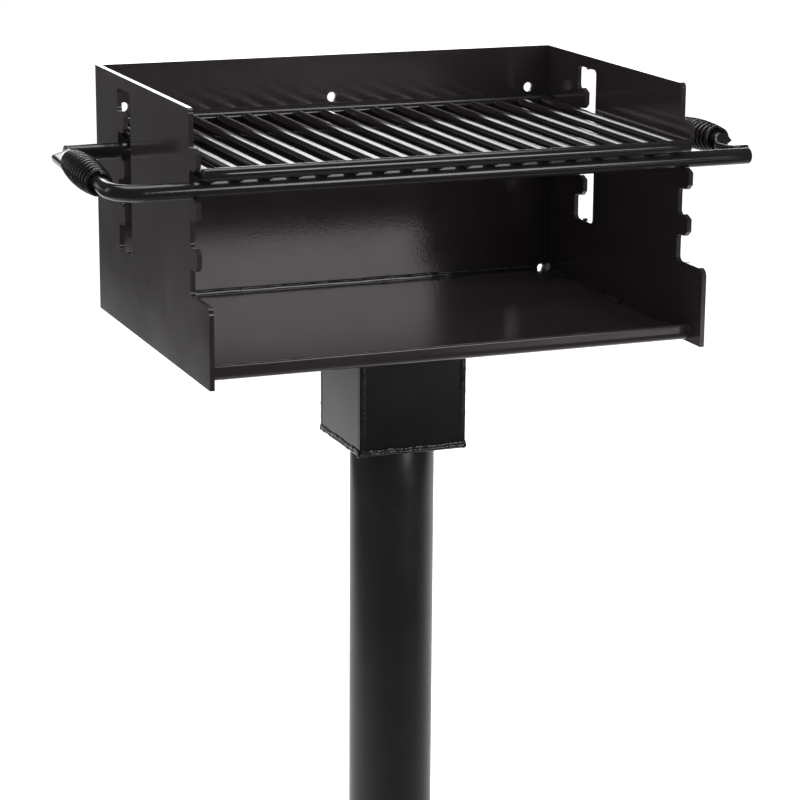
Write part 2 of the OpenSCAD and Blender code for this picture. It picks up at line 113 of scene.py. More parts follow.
class Expr:
    """A node socket that takes Python's operators, each of which adds a Math node."""

    def __init__(self, tree: TreeBuilder, socket: NodeSocket | None) -> None:
        """Wraps one output socket of a tree."""
        self.tree = tree
        self.socket = socket

    def _math(self, operation: str, *values: Expr | float) -> Expr:
        """Adds one Math node and returns its result."""
        return self.tree.node("ShaderNodeMath", *values, settings={"operation": operation})

    def __add__(self, other: Expr | float) -> Expr:
        """Sum."""
        return self._math("ADD", self, other)

    __radd__ = __add__

    def __sub__(self, other: Expr | float) -> Expr:
        """Difference."""
        return self._math("SUBTRACT", self, other)

    def __rsub__(self, other: float) -> Expr:
        """Difference from a number on the left."""
        return self._math("SUBTRACT", other, self)

    def __mul__(self, other: Expr | float) -> Expr:
        """Product."""
        return self._math("MULTIPLY", self, other)

    __rmul__ = __mul__

    def __truediv__(self, other: Expr | float) -> Expr:
        """Quotient."""
        return self._math("DIVIDE", self, other)

    def __pow__(self, other: Expr | float) -> Expr:
        """Power."""
        return self._math("POWER", self, other)

    def sine(self) -> Expr:
        """Sine of an angle in radians."""
        return self._math("SINE", self)

    def cosine(self) -> Expr:
        """Cosine of an angle in radians."""
        return self._math("COSINE", self)

    def at_least(self, other: Expr | float) -> Expr:
        """The larger of the two."""
        return self._math("MAXIMUM", self, other)

    def smooth(self, low: float, high: float) -> Expr:
        """A soft step from 0 at low to 1 at high."""
        settings = {"interpolation_type": "SMOOTHSTEP"}
        return self.tree.node("ShaderNodeMapRange", self, low, high, 0.0, 1.0, settings=settings)


class TreeBuilder:
    """Builds a shader or geometry node tree through one node method."""

    def __init__(self, tree: NodeTree) -> None:
        """Wraps a node tree."""
        self.tree = tree

    def node(self, kind: str, *values: object, settings: dict[str, object] | None = None, out: str = "",
             **named: object) -> Expr:
        """Adds a node.

        Args:
            kind: the node's type name.
            values: values or links of the first input sockets, in order.
            settings: attributes that are set before them.
            out: name of the output that is returned, if it isn't the first one in use.
            named: values or links of inputs by name, with _ for a space; None leaves one alone.

        Returns:
            The chosen output as an expression.
        """
        node = self.tree.nodes.new(kind)
        for key, value in (settings or {}).items():
            setattr(node, key, value)
        for socket, value in zip(node.inputs, values):
            self.feed(socket, value)
        for key, value in named.items():
            self.feed(self._socket(node.inputs, key.replace("_", " ")), value)
        return Expr(self, self._socket(node.outputs, out) if node.outputs else None)

    @staticmethod
    def _socket(sockets: Iterable[NodeSocket], name: str) -> NodeSocket:
        """Finds the first socket in use with a name, in any case, or with any name where it is empty."""
        for socket in sockets:
            if socket.enabled and name.lower() in ("", socket.name.lower()):
                return socket
        raise KeyError(f"the node has no socket {name}")

    def feed(self, socket: NodeSocket, value: object) -> None:
        """Links an expression to a socket, or sets the socket's own value."""
        if isinstance(value, Expr):
            self.tree.links.new(value.socket, socket)
        elif value is not None:
            socket.default_value = value

    def axes(self, place: Expr) -> list[Expr]:
        """Splits a vector into its x, y and z."""
        split = self.node("ShaderNodeSeparateXYZ", place).socket.node
        return [Expr(self, socket) for socket in split.outputs]

    def rays(self) -> tuple[Expr, Expr]:
        """Tells camera rays, and rays off mirrors or through glass, from the others."""
        path = self.tree.nodes.new("ShaderNodeLightPath")
        kinds = ("Camera", "Glossy", "Transmission")
        seen, glossy, through = (Expr(self, path.outputs[f"Is {kind} Ray"]) for kind in kinds)
        return seen, glossy.at_least(through)


class ShaderBuilder(TreeBuilder):
    """A new material and its tree, with the coordinates and noises that the finishes use."""

    def __init__(self, name: str) -> None:
        """Makes the material and clears its tree."""
        self.material = bpy.data.materials.new(name)
        self.material.use_nodes = True
        self.material.node_tree.nodes.clear()
        super().__init__(self.material.node_tree)
        self.coordinates = self.node("ShaderNodeTexCoord", out="Object")

    def noise(self, scale: float, detail: float = 3.0, roughness: float = 0.5) -> Expr:
        """A noise in object space, with features about 1/scale metres across."""
        sockets = {"Scale": scale, "Detail": detail, "Roughness": roughness}
        return self.node("ShaderNodeTexNoise", Vector=self.coordinates, **sockets)

    def cells(self, scale: float) -> Expr:
        """The distance to the nearest of scattered points, for specks."""
        return self.node("ShaderNodeTexVoronoi", Vector=self.coordinates, Scale=scale)

    def mix_colour(self, factor: Expr, low: Sequence[float], high: Sequence[float]) -> Expr:
        """Blends two colours."""
        settings = {"data_type": "RGBA"}
        return self.node("ShaderNodeMix", settings=settings, Factor=factor, A=(*low, 1.0), B=(*high, 1.0))

    def bump(self, height: Expr, depth: float, strength: float = 1.0, under: Expr | None = None) -> Expr:
        """Turns a height, with its depth in metres, into a normal on top of the one under it."""
        sockets = {"Strength": strength, "Distance": depth, "Height": height, "Normal": under}
        return self.node("ShaderNodeBump", **sockets)

    def surface(self, shader: Expr) -> Material:
        """Ends the tree with the surface's shader and returns the material."""
        self.node("ShaderNodeOutputMaterial", shader)
        return self.material

    def principled(self, **sockets: object) -> Material:
        """Ends the tree with a Principled shader and returns the material."""
        return self.surface(self.node("ShaderNodeBsdfPrincipled", **sockets))


@dataclass(frozen=True)
class BlackEnamel:
    """Gloss black baked paint: faint mottle, orange peel and a few dust nibs.

    Attributes:
        deep, light: colours of the darker and the lighter patches.
        gloss, haze: roughness of the smoothest patches, and how much rougher the dullest are.
        peel, nibs: depth of the orange peel and height of the dust nibs in metres.
        cast: tint of its mirror image, seen straight on.
        patch_scale, cloud_scale, peel_scale, nib_scale: how many to a metre.
    """

    name: str
    deep: Point = (0.0130, 0.0106, 0.0116)
    light: Point = (0.0180, 0.0150, 0.0162)
    gloss: float = 0.15
    haze: float = 0.10
    peel: float = 0.00006
    nibs: float = 0.00003
    cast: Point = (1.0, 1.0, 1.0)
    patch_scale: float = 7.0
    cloud_scale: float = 38.0
    peel_scale: float = 420.0
    nib_scale: float = 48.0
    nib_haze: float = 0.25

    def material(self) -> Material:
        """Builds the material."""
        b = ShaderBuilder(self.name)
        mottle = b.noise(self.patch_scale, detail=4.0, roughness=0.6)
        cloud = b.noise(self.cloud_scale, roughness=0.55)
        peel = b.noise(self.peel_scale, detail=2.0)
        specks = 1.0 - b.cells(self.nib_scale).smooth(0.015, 0.05)
        colour = b.mix_colour(mottle.smooth(0.3, 0.7), self.deep, self.light)
        dull = 0.6 * mottle.smooth(0.35, 0.7) + 0.4 * cloud.smooth(0.3, 0.75)
        rough = self.gloss + self.haze * dull + self.nib_haze * specks
        skin = b.bump(specks, self.nibs, under=b.bump(peel, self.peel))
        mirror = {"IOR": PAINT_INDEX, "Specular_Tint": (*self.cast, 1.0)}
        return b.principled(Base_Color=colour, Roughness=rough, Normal=skin, **mirror)


@dataclass(frozen=True)
class WeldEnamel:
    """The same paint over a weld bead: pooled gloss with small craters and spatter.

    Attributes:
        base, thin: colours where the paint is thick and where it is thin.
        ripple_depth: depth of the lumps and craters in metres.
        lump_scale, crater_scale, patch_scale: how many to a metre.
    """

    name: str
    base: Point = (0.013, 0.012, 0.013)
    thin: Point = (0.022, 0.020, 0.021)
    gloss: float = 0.07
    ripple_depth: float = 0.00006
    lump_scale: float = 330.0
    crater_scale: float = 520.0
    patch_scale: float = 70.0

    def material(self) -> Material:
        """Builds the material."""
        b = ShaderBuilder(self.name)
        lumps = b.noise(self.lump_scale, detail=4.0, roughness=0.6)
        craters = 1.0 - b.cells(self.crater_scale).smooth(0.05, 0.30)
        patches = b.noise(self.patch_scale).smooth(0.35, 0.7)
        colour = b.mix_colour(patches, self.base, self.thin)
        rough = self.gloss + 0.1 * patches + 0.08 * craters
        skin = b.bump(lumps - 0.4 * craters, self.ripple_depth, strength=0.8)
        return b.principled(Base_Color=colour, Roughness=rough, Normal=skin, IOR=PAINT_INDEX)


@dataclass(frozen=True)
class TurnedMetal:
    """Bare turned metal with fine tool rings, for the swivel inside the block.

    Attributes:
        tone, dull: colours of the clean metal and of its stains.
        rings: tool rings to a metre.
        ring_depth: their depth in metres.
    """

    name: str
    tone: Point
    dull: Point
    rings: float = 900.0
    ring_depth: float = 0.00002
    stain_scale: float = 60.0

    def material(self) -> Material:
        """Builds the material."""
        b = ShaderBuilder(self.name)
        x, y, z = b.axes(b.coordinates)
        radius = (x * x + y * y) ** 0.5
        groove = ((radius + z) * self.rings * math.tau).sine() * 0.5 + 0.5
        stain = b.noise(self.stain_scale, detail=4.0, roughness=0.6).smooth(0.35, 0.75)
        colour = b.mix_colour(stain, self.tone, self.dull)
        rough = 0.28 + 0.18 * stain + 0.06 * groove
        skin = b.bump(groove, self.ring_depth, strength=0.5)
        return b.principled(Base_Color=colour, Roughness=rough, Metallic=1.0, Normal=skin)


class GeometryBuilder(TreeBuilder):
    """A geometry node tree with named inputs, applied once to a path and turned into plain mesh."""

    def __init__(self, name: str) -> None:
        """Starts an empty tree with its geometry input and output."""
        super().__init__(bpy.data.node_groups.new(name, "GeometryNodeTree"))
        face = self.tree.interface
        face.new_socket("Geometry", in_out="INPUT", socket_type="NodeSocketGeometry")
        face.new_socket("Geometry", in_out="OUTPUT", socket_type="NodeSocketGeometry")
        self.entry = self.tree.nodes.new("NodeGroupInput")
        self.exit = self.tree.nodes.new("NodeGroupOutput")
        self.values: dict[str, float | int] = {}

    def sizes(self, **values: float | int) -> list[Expr]:
        """Adds named inputs, lengths or counts, with _ for a space, and returns them in order."""
        for key, value in values.items():
            name = key.replace("_", " ")
            kind = "NodeSocketInt" if isinstance(value, int) else "NodeSocketFloat"
            self.tree.interface.new_socket(name, in_out="INPUT", socket_type=kind)
            self.values[name] = value
        return [Expr(self, self.entry.outputs[key.replace("_", " ")]) for key in values]

    def given_curve(self) -> Expr:
        """The path that the tree is given, as a curve."""
        return self.node("GeometryNodeMeshToCurve", Expr(self, self.entry.outputs["Geometry"]))

    def vector(self, *values: Expr | float) -> Expr:
        """Joins x, y and z into a vector."""
        return self.node("ShaderNodeCombineXYZ", *values)

    def random(self, low: Sequence[float] | Expr, high: Sequence[float] | Expr, seed: Expr) -> Expr:
        """Draws a vector for each element, or a value where the limits are expressions."""
        settings = {"data_type": "FLOAT" if isinstance(low, Expr) else "FLOAT_VECTOR"}
        return self.node("FunctionNodeRandomValue", settings=settings, Min=low, Max=high, Seed=seed)

    def scaled(self, vector: Expr, factor: Expr) -> Expr:
        """Multiplies a vector by a value."""
        return self.node("ShaderNodeVectorMath", vector, settings={"operation": "SCALE"}, Scale=factor)

    def swept(self, axis: Expr, sides: int, radius: Expr) -> Expr:
        """Sweeps a circle along a curve and closes its ends."""
        ring = self.node("GeometryNodeCurvePrimitiveCircle", Resolution=sides, Radius=radius)
        return self.node("GeometryNodeCurveToMesh", axis, Profile_Curve=ring, Fill_Caps=True)

    def finish(self, geometry: Expr, material: Material) -> None:
        """Ends the tree: instances made real, smooth faces and the material set."""
        real = self.node("GeometryNodeRealizeInstances", geometry)
        shaded = self.node("GeometryNodeSetShadeSmooth", real)
        dressed = self.node("GeometryNodeSetMaterial", shaded, Material=material)
        self.feed(self.exit.inputs["Geometry"], dressed)

    def apply(self, name: str, runs: Iterable[Run] = (STUB,)) -> Object:
        """Runs the tree on a path and returns a plain mesh object.

        Args:
            name: name of the finished object.
            runs: the path's stretches, for a tree that follows one.

        Returns:
            The object, with no modifier left on it.
        """
        carrier = put_in_scene(name + "_path", path_mesh(name + "_path", runs))
        modifier = carrier.modifiers.new("nodes", "NODES")
        modifier.node_group = self.tree
        for item in self.tree.interface.items_tree:
            if item.in_out == "INPUT" and item.name in self.values:
                modifier[item.identifier] = self.values[item.name]
        bpy.context.view_layer.update()
        graph = bpy.context.evaluated_depsgraph_get()
        mesh = bpy.data.meshes.new_from_object(carrier.evaluated_get(graph))
        bpy.data.objects.remove(carrier)
        return link_mesh(name, mesh)


def put_in_scene(name: str, data: bpy.types.ID) -> Object:
    """Makes an object for a mesh, a lamp or a camera, at the origin."""
    made = bpy.data.objects.new(name, data)
    bpy.context.scene.collection.objects.link(made)
    return made


def link_mesh(name: str, mesh: Mesh) -> Object:
    """Makes a piece of a mesh, which gets its name."""
    mesh.name = name
    return put_in_scene(name, mesh)


def mesh_from(name: str, points: Run, edges: Run = (), faces: Run = ()) -> Mesh:
    """Makes a mesh from points and edges or faces."""
    mesh = bpy.data.meshes.new(name)
    mesh.from_pydata([tuple(p) for p in points], edges, faces)
    mesh.update()
    return mesh


def path_mesh(name: str, runs: Iterable[Run]) -> Mesh:
    """Makes a mesh of bare edges, one chain for each run of points."""
    points: list[Sequence[float]] = []
    edges: list[tuple[int, int]] = []
    for run in runs:
        start = len(points)
        points.extend(run)
        edges.extend((start + k, start + k + 1) for k in range(len(run) - 1))
    return mesh_from(name, points, edges=edges)


def smooth_faces(mesh: Mesh) -> None:
    """Smooths all of a mesh's faces."""
    mesh.polygons.foreach_set("use_smooth", [True] * len(mesh.polygons))


def shade_smooth(mesh: Mesh, corner: float) -> None:
    """Smooths a mesh's faces, but for edges that turn by more than the corner's angle."""
    smooth_faces(mesh)
    mesh.set_sharp_from_angle(angle=corner)


def outwards(mesh: Mesh) -> None:
    """Turns a closed mesh's faces outwards."""
    shell = bmesh.new()
    shell.from_mesh(mesh)
    bmesh.ops.recalc_face_normals(shell, faces=shell.faces)
    shell.to_mesh(mesh)
    shell.free()


@dataclass(frozen=True)
class Section:
    """A rod's section at one point.

    Attributes:
        drop: from the axis down to its middle.
        square: how square it is, from 0 for an ellipse to 1.
    """

    half_width: float
    half_height: float
    drop: float = 0.0
    square: float = 0.0

    def point(self, angle: float) -> Span:
        """Gives the outline's point at an angle, as an offset across and an offset up."""
        power = 1.0 / (1.0 + 2.5 * self.square)
        across = math.copysign(abs(math.cos(angle)) ** power, math.cos(angle))
        upward = math.copysign(abs(math.sin(angle)) ** power, math.sin(angle))
        return self.half_width * across, self.half_height * upward - self.drop


def circle(radius: float) -> Section:
    """Gives a round section."""
    return Section(radius, radius)


def spaced(start: float, end: float, steps: int) -> list[float]:
    """Gives the end of each of the even steps from a start to an end."""
    return [start + (end - start) * (k / steps) for k in range(1, steps + 1)]


def skin(name: str, rows: Sequence[Run], closed: bool) -> Mesh:
    """Joins rings of points into a closed shape.

    Args:
        name: the mesh's name.
        rows: the rings, all with the same number of points.
        closed: whether the last ring meets the first; if not, both ends get a face.

    Returns:
        A mesh with its faces outwards.
    """
    count, turns = len(rows), len(rows[0])
    faces: list[tuple[int, ...]] = []
    for k in range(count if closed else count - 1):
        row, above = k * turns, (k + 1) % count * turns
        for j in range(turns):
            ahead = (j + 1) % turns
            faces.append((row + j, row + ahead, above + ahead, above + j))
    if not closed:
        faces += [tuple(reversed(range(turns))), tuple(range((count - 1) * turns, count * turns))]
    mesh = mesh_from(name, [point for row in rows for point in row], faces=faces)
    outwards(mesh)
    return mesh


def tube(name: str, path: Sequence[Vector], sections: Sequence[Section], turns: int,
         roll: float = 0.0) -> Mesh:
    """Sweeps a section along a path that never stands upright.

    Args:
        name: the mesh's name.
        path: the points of the axis.
        sections: one section for each point.
        turns: points round the section.
        roll: turn of every section about the path, in radians.

    Returns:
        A mesh with both ends closed.
    """
    upright = Vector((0, 0, 1))
    rows = []
    last = len(path) - 1
    for k, (centre, section) in enumerate(zip(path, sections)):
        ahead = path[min(k + 1, last)] - path[max(k - 1, 0)]
        ahead.normalize()
        upward = upright - ahead * upright.dot(ahead)
        upward.normalize()
        level = ahead.cross(upward)
        wide = level * math.cos(roll) + upward * math.sin(roll)
        tall = upward * math.cos(roll) - level * math.sin(roll)
        outline = (section.point(math.tau * j / turns) for j in range(turns))
        rows.append([centre + wide * across + tall * up for across, up in outline])
    return skin(name, rows, closed=False)


def lathe(name: str, profile: Sequence[Span], turns: int = 128) -> Mesh:
    """Revolves a closed profile of radius and height about the post's axis."""
    angles = [math.tau * j / turns for j in range(turns)]
    rows = [[(r * math.cos(a), r * math.sin(a), z) for a in angles] for r, z in profile]
    return skin(name, rows, closed=True)


class Finishes:
    """Every material of the grill, built once."""

    def __init__(self) -> None:
        """Builds the materials."""
        # The firebox's base colours are set well above the other black parts' as painted light: the lighter
        # paint stands in for light that reaches the inside of the firebox.
        self.firebox = BlackEnamel(
            "firebox_enamel", deep=(0.0270, 0.0215, 0.0235), light=(0.0340, 0.0275, 0.0300),
            gloss=0.1, haze=0.07, cast=(1.0, 0.92, 0.96),
        ).material()
        # The block's base colours are set well below the other black parts' as painted shade: the darker
        # paint stands in for shade on the block.
        self.block = BlackEnamel(
            "block_enamel", deep=(0.0070, 0.0058, 0.0062), light=(0.0100, 0.0084, 0.0090), gloss=0.17,
        ).material()
        self.post = BlackEnamel("post_enamel", gloss=0.26, peel=0.0001).material()
        self.grate = BlackEnamel("grate_enamel", gloss=0.13, haze=0.07, peel=0.00003).material()
        self.grip = BlackEnamel("grip_enamel", gloss=0.2, peel=0.00003).material()
        self.seam = BlackEnamel("seam_enamel", gloss=0.55, nibs=0.0).material()
        self.weld = WeldEnamel("weld_enamel").material()
        self.steel = TurnedMetal("turned_steel", (0.42, 0.42, 0.43), (0.24, 0.23, 0.22)).material()
        self.bronze = TurnedMetal("turned_bronze", (0.55, 0.36, 0.16), (0.33, 0.2, 0.09)).material()


@dataclass
class Assembly:
    """What the sub-assemblies share: the frame, the finishes, a body and how to hand a piece over."""

    frame: dict
    finishes: Finishes
    body: Body = Body.FIREBOX

    def hand_over(self, piece: Object, slot: Slot, nodes: Sequence[str],
                  material: Material | None = None) -> None:
        """Gives a piece its body and its material, where one is named, and hides the nodes it stands in for.
        """
        if material is not None:
            piece.data.materials.clear()
            piece.data.materials.append(material)
        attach(piece, self.body.value)
        if nodes:
            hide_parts(*nodes)
        LOG.info("%s rides on %s for %s", piece.name, self.body.value, ", ".join(nodes) or "no node")

    def dress(self, node: str, material: Material) -> None:
        """Gives a node of the frame a better material."""
        for slot in self.frame["nodes"][node].material_slots:
            slot.material = material
        LOG.info("%s keeps its mesh and gets %s", node, material.name)

    def bevelled(self, node: str, name: str, width: float) -> Object:
        """Copies a node's mesh and rounds its sharp edges.

        Args:
            node: the frame's node.
            name: name of the new piece.
            width: width of the round in metres.
        """
        mesh = self.frame["nodes"][node].data.copy()
        shell = bmesh.new()
        shell.from_mesh(mesh)
        bmesh.ops.remove_doubles(shell, verts=shell.verts, dist=MERGE_WITHIN)
        bmesh.ops.dissolve_limit(shell, angle_limit=FLAT_WITHIN, verts=shell.verts, edges=shell.edges)
        shell.to_mesh(mesh)
        shell.free()
        smooth_faces(mesh)
        piece = link_mesh(name, mesh)
        bevel = piece.modifiers.new("round", "BEVEL")
        bevel.width = width
        bevel.segments = 3
        bevel.limit_method = "ANGLE"
        bevel.angle_limit = PLATE_CORNER
        weighted = piece.modifiers.new("flat", "WEIGHTED_NORMAL")
        weighted.weight = 100
        graph = bpy.context.evaluated_depsgraph_get()
        done = bpy.data.meshes.new_from_object(piece.evaluated_get(graph))
        piece.modifiers.clear()
        piece.data = done
        done.name = name
        return piece


@dataclass
class Bead:
    """What the painted weld beads share.

    Attributes:
        wave: from one lump or swelling to the next.
        wander: how far it strays from its path.
        uneven: how much its thickness changes.
    """

    name: str
    radius: float
    wave: float
    wander: float
    uneven: float
    seed: int

    def build(self, runs: Iterable[Run], material: Material) -> Object:
        """Lays the bead as a plain mesh object.

        Args:
            runs: the paths of the bead's stretches, in metres.
            material: the finish.
        """
        b = GeometryBuilder(self.name + "_nodes")
        sizes = b.sizes(
            Bead_Radius=self.radius, Wave_Length=self.wave, Wander=self.wander,
            Unevenness=self.uneven, Seed=self.seed,
        )
        b.finish(self.form(b, *sizes), material)
        piece = b.apply(self.name, runs)
        shade_smooth(piece.data, BEAD_CORNER)
        return piece

    def form(self, b: GeometryBuilder, *sizes: Expr) -> Expr:
        """Gives the bead's geometry from its radius, wave, wander, unevenness and seed."""
        raise NotImplementedError


@dataclass
class LumpBead(Bead):
    """A weld bead of overlapping lumps."""

    dents: float = 380.0

    def form(self, b: GeometryBuilder, *sizes: Expr) -> Expr:
        """Sets dented balls along the path, each of its own size."""
        radius, wave, wander, uneven, seed = sizes
        by_length = {"mode": "LENGTH"}
        points = b.node("GeometryNodeCurveToPoints", b.given_curve(), settings=by_length, Length=wave)
        drift = b.random((-1.0,) * 3, (1.0,) * 3, seed)
        moved = b.node("GeometryNodeSetPosition", points, Offset=b.scaled(drift, wander))
        ball = b.node("GeometryNodeMeshIcoSphere", Radius=radius, Subdivisions=3)
        place = b.node("GeometryNodeInputPosition")
        dent = b.node("ShaderNodeTexNoise", Vector=place, Scale=self.dents, Detail=1.0)
        push = b.scaled(b.node("GeometryNodeInputNormal"), (dent - 0.5) * radius * 0.5)
        lump = b.node("GeometryNodeSetPosition", ball, Offset=push)
        size = b.random(1.0 - uneven, 1.0 + uneven * 0.6, seed + 3.0)
        turn = b.random((0.0,) * 3, (math.tau,) * 3, seed + 7.0)
        sized = {"Rotation": turn, "Scale": b.vector(size, size, size)}
        return b.node("GeometryNodeInstanceOnPoints", moved, Instance=lump, **sized)


@dataclass
class FlowBead(Bead):
    """A weld bead that has flowed together: one run that swells and sways in long waves."""

    step: float = 0.0005
    sides: int = 20
    sway_gain: float = 4.0
    swell_gain: float = 3.0
    swell_rate: float = 1.6

    def form(self, b: GeometryBuilder, *sizes: Expr) -> Expr:
        """Sweeps a circle of changing size along a swaying path."""
        radius, wave, wander, uneven, seed = sizes
        by_length = {"mode": "LENGTH"}
        fine = b.node("GeometryNodeResampleCurve", b.given_curve(), settings=by_length, Length=self.step)
        waves = {"noise_dimensions": "4D"}
        scale = wave ** -1.0
        noise = {"Vector": b.node("GeometryNodeInputPosition"), "Detail": 2.0}
        sway = b.node("ShaderNodeTexNoise", settings=waves, out="Color", W=seed + 0.0, Scale=scale, **noise)
        less = {"operation": "SUBTRACT"}
        centred = b.node("ShaderNodeVectorMath", sway, (0.5, 0.5, 0.5), settings=less)
        moved = b.node("GeometryNodeSetPosition", fine, Offset=b.scaled(centred, wander * self.sway_gain))
        quick = scale * self.swell_rate
        swell = b.node("ShaderNodeTexNoise", settings=waves, W=seed + 4.0, Scale=quick, **noise)
        girth = 1.0 + (swell - 0.5) * uneven * self.swell_gain
        thick = b.node("GeometryNodeSetCurveRadius", moved, Radius=girth)
        return b.swept(thick, self.sides, radius)


@dataclass
class Post(Assembly):
    """The pipe post, its rim slightly round, and the swivel parts in its mouth."""

    body: Body = Body.POST
    wall: float = 0.0048
    rim_round: float = 0.0008
    rings: int = 24

    def build(self) -> None:
        """Builds the post."""
        low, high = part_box("post_pipe")
        outer = high[0]
        inner = outer - self.wall
        foot, rim = low[2], high[2]
        shoulder = rim - self.rim_round
        cut = self.rim_round * 0.3
        profile = [(outer, z) for z in [foot] + spaced(foot, shoulder, self.rings)]
        profile += [
            (outer - cut, rim - cut), (outer - self.rim_round, rim), (inner + self.rim_round, rim),
            (inner, shoulder), (inner, foot),
        ]
        pipe = link_mesh("post_tube", lathe("post_tube", profile))
        shade_smooth(pipe.data, PIPE_CORNER)
        self.hand_over(pipe, Slot.POST, ["post_pipe"], self.finishes.post)
        for node in ("post_head", "retaining_disc", "retaining_nut"):
            self.dress(node, self.finishes.steel)
        self.dress("bearing_washer", self.finishes.bronze)


@dataclass
class MountBlock(Assembly):
    """The square block that turns on the post, with its welds.

    Attributes:
        bead: from the outline of the bottom bead to its middle.
        strip: from the block's corner to the middle of a corner bead.
        strand: half the distance between the bottom bead's two strands.
        strip_flat: height of a corner bead as a share of a round one.
    """

    edge: float = 0.0007
    bead: float = 0.0023
    strand: float = 0.0014
    strip: float = 0.0036
    strip_end: float = 0.001
    strip_flat: float = 0.22

    def build(self) -> None:
        """Builds the block's plates and beads."""
        for part in ("front_wall", "rear_wall", "left_wall", "right_wall", "bottom_plate"):
            piece = self.bevelled("mount_" + part, "block_" + part, self.edge)
            self.hand_over(piece, Slot.FIREBOX, ["mount_" + part], self.finishes.block)
        self.bottom_bead()
        self.corner_beads()
        self.dress("mount_top_weld", self.finishes.weld)

    def bottom_bead(self) -> None:
        """Lays the lumpy bead round the block's bottom, with a blob at each corner."""
        low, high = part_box("mount_bottom_weld")
        z = (low[2] + high[2]) / 2
        x0, x1 = low[0] + self.bead, high[0] - self.bead
        y0, y1 = low[1] + self.bead, high[1] - self.bead
        corners = [(x0, y0), (x1, y0), (x1, y1), (x0, y1)]
        strands = [
            [(*here, z + offset), (*ahead, z + offset)]
            for here, ahead in zip(corners, corners[1:] + corners[:1])
            for offset in (-self.strand, self.strand)
        ]
        bead = FlowBead("block_bottom_bead", radius=0.0024, wave=0.01, wander=0.0009, uneven=0.35, seed=5)
        self.hand_over(bead.build(strands, self.finishes.weld), Slot.WELD, ["mount_bottom_weld"])
        uprights = [[(x, y, z - self.strand), (x, y, z + self.strand)] for x in (x0, x1) for y in (y0, y1)]
        blobs = LumpBead(
            "block_bottom_blobs", radius=0.0031, wave=2 * self.strand, wander=0.0006, uneven=0.3, seed=8,
        )
        self.hand_over(blobs.build(uprights, self.finishes.weld), Slot.WELD, [])

    def corner_beads(self) -> None:
        """Lays the flat lumpy beads beside the block's upright edges, on its front and rear faces."""
        low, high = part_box("mount_corner_welds")
        face_x, face_y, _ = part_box("mount_rear_wall")[1]
        runs = [
            [(x, y, low[2] + self.strip_end), (x, y, high[2] - self.strip_end)]
            for x in (-face_x + self.strip, face_x - self.strip)
            for y in (-face_y, face_y)
        ]
        bead = FlowBead(
            "block_corner_beads", radius=self.strip * 0.9, wave=0.009, wander=0.0006, uneven=0.25, seed=9,
        )
        piece = bead.build(runs, self.finishes.weld)
        for vertex in piece.data.vertices:
            plane = math.copysign(face_y, vertex.co.y)
            vertex.co.y = plane + (vertex.co.y - plane) * self.strip_flat
        self.hand_over(piece, Slot.WELD, ["mount_corner_welds"])


@dataclass
class Firebox(Assembly):
    """The four plates of the firebox and the beads that join them.

    Attributes:
        edge, sheared: width of the round on the plates' edges, and on the floor plate's sharper ones.
        bead_inset: from the outline of the floor's back bead to its middle.
    """

    edge: float = 0.0006
    sheared: float = 0.00012
    bead_inset: float = 0.0008

    def build(self) -> None:
        """Builds the plates and beads."""
        for node in ("left_side_plate", "right_side_plate", "back_plate", "floor_plate"):
            edge = self.sheared if node == "floor_plate" else self.edge
            piece = self.bevelled(node, "firebox_" + node, edge)
            self.hand_over(piece, Slot.FIREBOX, [node], self.finishes.firebox)
        self.floor_back_bead()
        self.dress("floor_side_welds", self.finishes.seam)
        self.dress("lip_end_welds", self.finishes.weld)
        self.dress("back_side_welds", self.finishes.seam)

    def floor_back_bead(self) -> None:
        """Lays the bead along the floor's back edge."""
        low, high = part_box("floor_back_weld")
        y, z = high[1] - self.bead_inset, low[2] + self.bead_inset
        bead = FlowBead("floor_back_bead", radius=0.0037, wave=0.03, wander=0.0003, uneven=0.16, seed=11)
        piece = bead.build([[(low[0], y, z), (high[0], y, z)]], self.finishes.weld)
        self.hand_over(piece, Slot.WELD, ["floor_back_weld"])


@dataclass(frozen=True)
class Coil:
    """The measures of a coil grip, in metres.

    Attributes:
        wire: the wire's radius.
        steps, sides: points of the mesh along a turn and round the wire.
        barrel: how quickly the coil swells from its ends; lower is quicker.
    """

    wire: float = 0.0020
    end_radius: float = 0.01024
    middle_radius: float = 0.0138
    turn_pitch: float = 0.00723
    turns: int = 13
    steps: int = 40
    sides: int = 16
    barrel: float = 0.8

    @property
    def length(self) -> float:
        """The coil's length over its wire."""
        return self.turns * self.turn_pitch + 2 * self.wire


@dataclass(frozen=True)
class Arm:
    """The shape of one carrying rod's arm.

    Attributes:
        way: 1 for the front rod, -1 for the rear rod, which is turned half round.
        length, grip_from: from the rod's axis to the tip and to the near end of the grip.
        rise, roll: rise of the arm and turn of its pressed tip, in radians.
        reach: from the post's axis to the arm's axis.
    """

    way: float
    length: float
    rise: float
    grip_from: float
    roll: float = 0.0
    reach: float = 0.328


COIL = Coil()
LEFT_ARM = Arm(way=1.0, length=0.188, rise=math.radians(3.2), grip_from=0.044, roll=math.radians(18.0))
RIGHT_ARM = Arm(way=-1.0, length=0.208, rise=math.radians(1.6), grip_from=0.066)

Station = tuple[float, float, Section]


